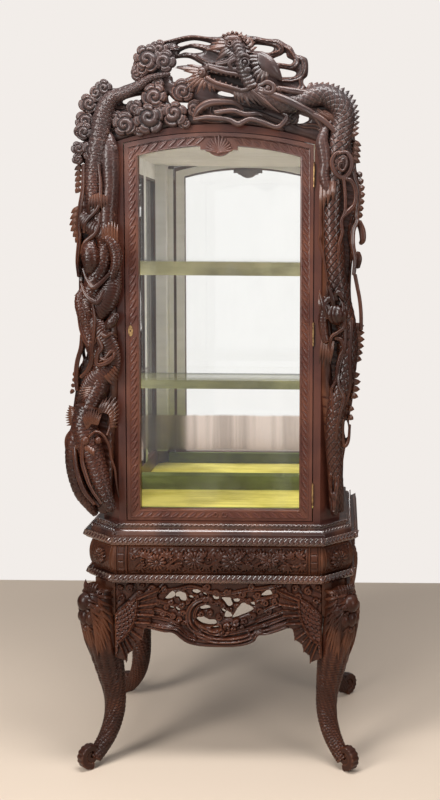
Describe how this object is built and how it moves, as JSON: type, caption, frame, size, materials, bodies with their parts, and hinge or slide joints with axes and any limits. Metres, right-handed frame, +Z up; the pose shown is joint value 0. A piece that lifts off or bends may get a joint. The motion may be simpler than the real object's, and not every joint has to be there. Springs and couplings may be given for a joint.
{
  "type": "carved display cabinet",
  "caption": "Glazed display cabinet with an arched hinged door and carved dragon posts and crest, on a carved stand with trunk-shaped cabriole legs.",
  "frame": {"origin": "on the floor, in the middle of the cabinet's width and depth", "axes": "+Z up, front towards -Y, +X to the right of a viewer who faces the front"},
  "size_m": [0.7639, 0.5638, 1.8917],
  "materials": {
    "leg_wood": "satin carved",
    "apron_wood": "satin carved",
    "moulding_wood": "satin carved",
    "frieze_wood": "satin carved",
    "carving_wood": "satin carved",
    "door_wood": "satin carved",
    "case_wood": "satin",
    "clear_glass": "polished",
    "mirror": "silvered, worn at the foot",
    "velvet": "matt pile",
    "bar_cloth": "matt pile",
    "brass": "aged",
    "lock_steel": "dull"
  },
  "bodies": {
    "case": {"apron_front": "apron_wood", "apron_left": "apron_wood", "apron_rear": "apron_wood", "apron_right": "apron_wood", "back_panel": "case_wood", "bead_moulding": "moulding_wood", "case_ceiling": "case_wood", "case_floor": "case_wood", "case_stile_left": "case_wood", "case_stile_right": "case_wood", "crest_carving": "carving_wood", "dragon_left": "carving_wood", "dragon_right": "carving_wood", "floor_bars": "bar_cloth", "floor_velvet": "velvet", "frieze_back": "frieze_wood", "frieze_corners": "frieze_wood", "frieze_front": "frieze_wood", "frieze_left": "frieze_wood", "frieze_right": "frieze_wood", "front_post_left": "case_wood", "front_post_right": "case_wood", "head_rail": "case_wood", "hinge_case_leaves": "brass", "hinge_pins": "brass", "leg_front_left": "leg_wood", "leg_front_right": "leg_wood", "leg_rear_left": "leg_wood", "leg_rear_right": "leg_wood", "lower_board": "moulding_wood", "mirror_plates": "mirror", "ovolo_moulding": "moulding_wood", "rear_post_left": "case_wood", "rear_post_right": "case_wood", "shelf_bearers": "bar_cloth", "shelf_cleats": "case_wood", "shelf_glass_lower": "clear_glass", "shelf_glass_upper": "clear_glass", "side_frame_left": "case_wood", "side_frame_right": "case_wood", "side_glass_left": "clear_glass", "side_glass_right": "clear_glass", "threshold_rail": "case_wood", "upper_board": "moulding_wood", "wing_front_left": "apron_wood", "wing_front_right": "apron_wood", "wing_left_front": "apron_wood", "wing_left_rear": "apron_wood", "wing_right_front": "apron_wood", "wing_right_rear": "apron_wood"},
    "door": {"door_bottom_rail": "door_wood", "door_glass": "clear_glass", "door_stile_left": "door_wood", "door_stile_right": "door_wood", "door_top_rail": "door_wood", "escutcheon": "brass", "glazing_beads": "door_wood", "hinge_door_leaves": "brass", "lock_case": "lock_steel"},
    "bolt": {"lock_bolt": "brass"}
  },
  "joints": [
    {"name": "door_hinge", "type": "hinge", "parent": "case", "child": "door", "pos_m": [0.24025, -0.2105, 1.1367], "axis": [0, 0, 1], "range_deg": [0, 95]},
    {"name": "lock_bolt_slide", "type": "slide", "parent": "door", "child": "bolt", "axis": [-1, 0, 0], "range_m": [0, 0.008]}
  ]
}
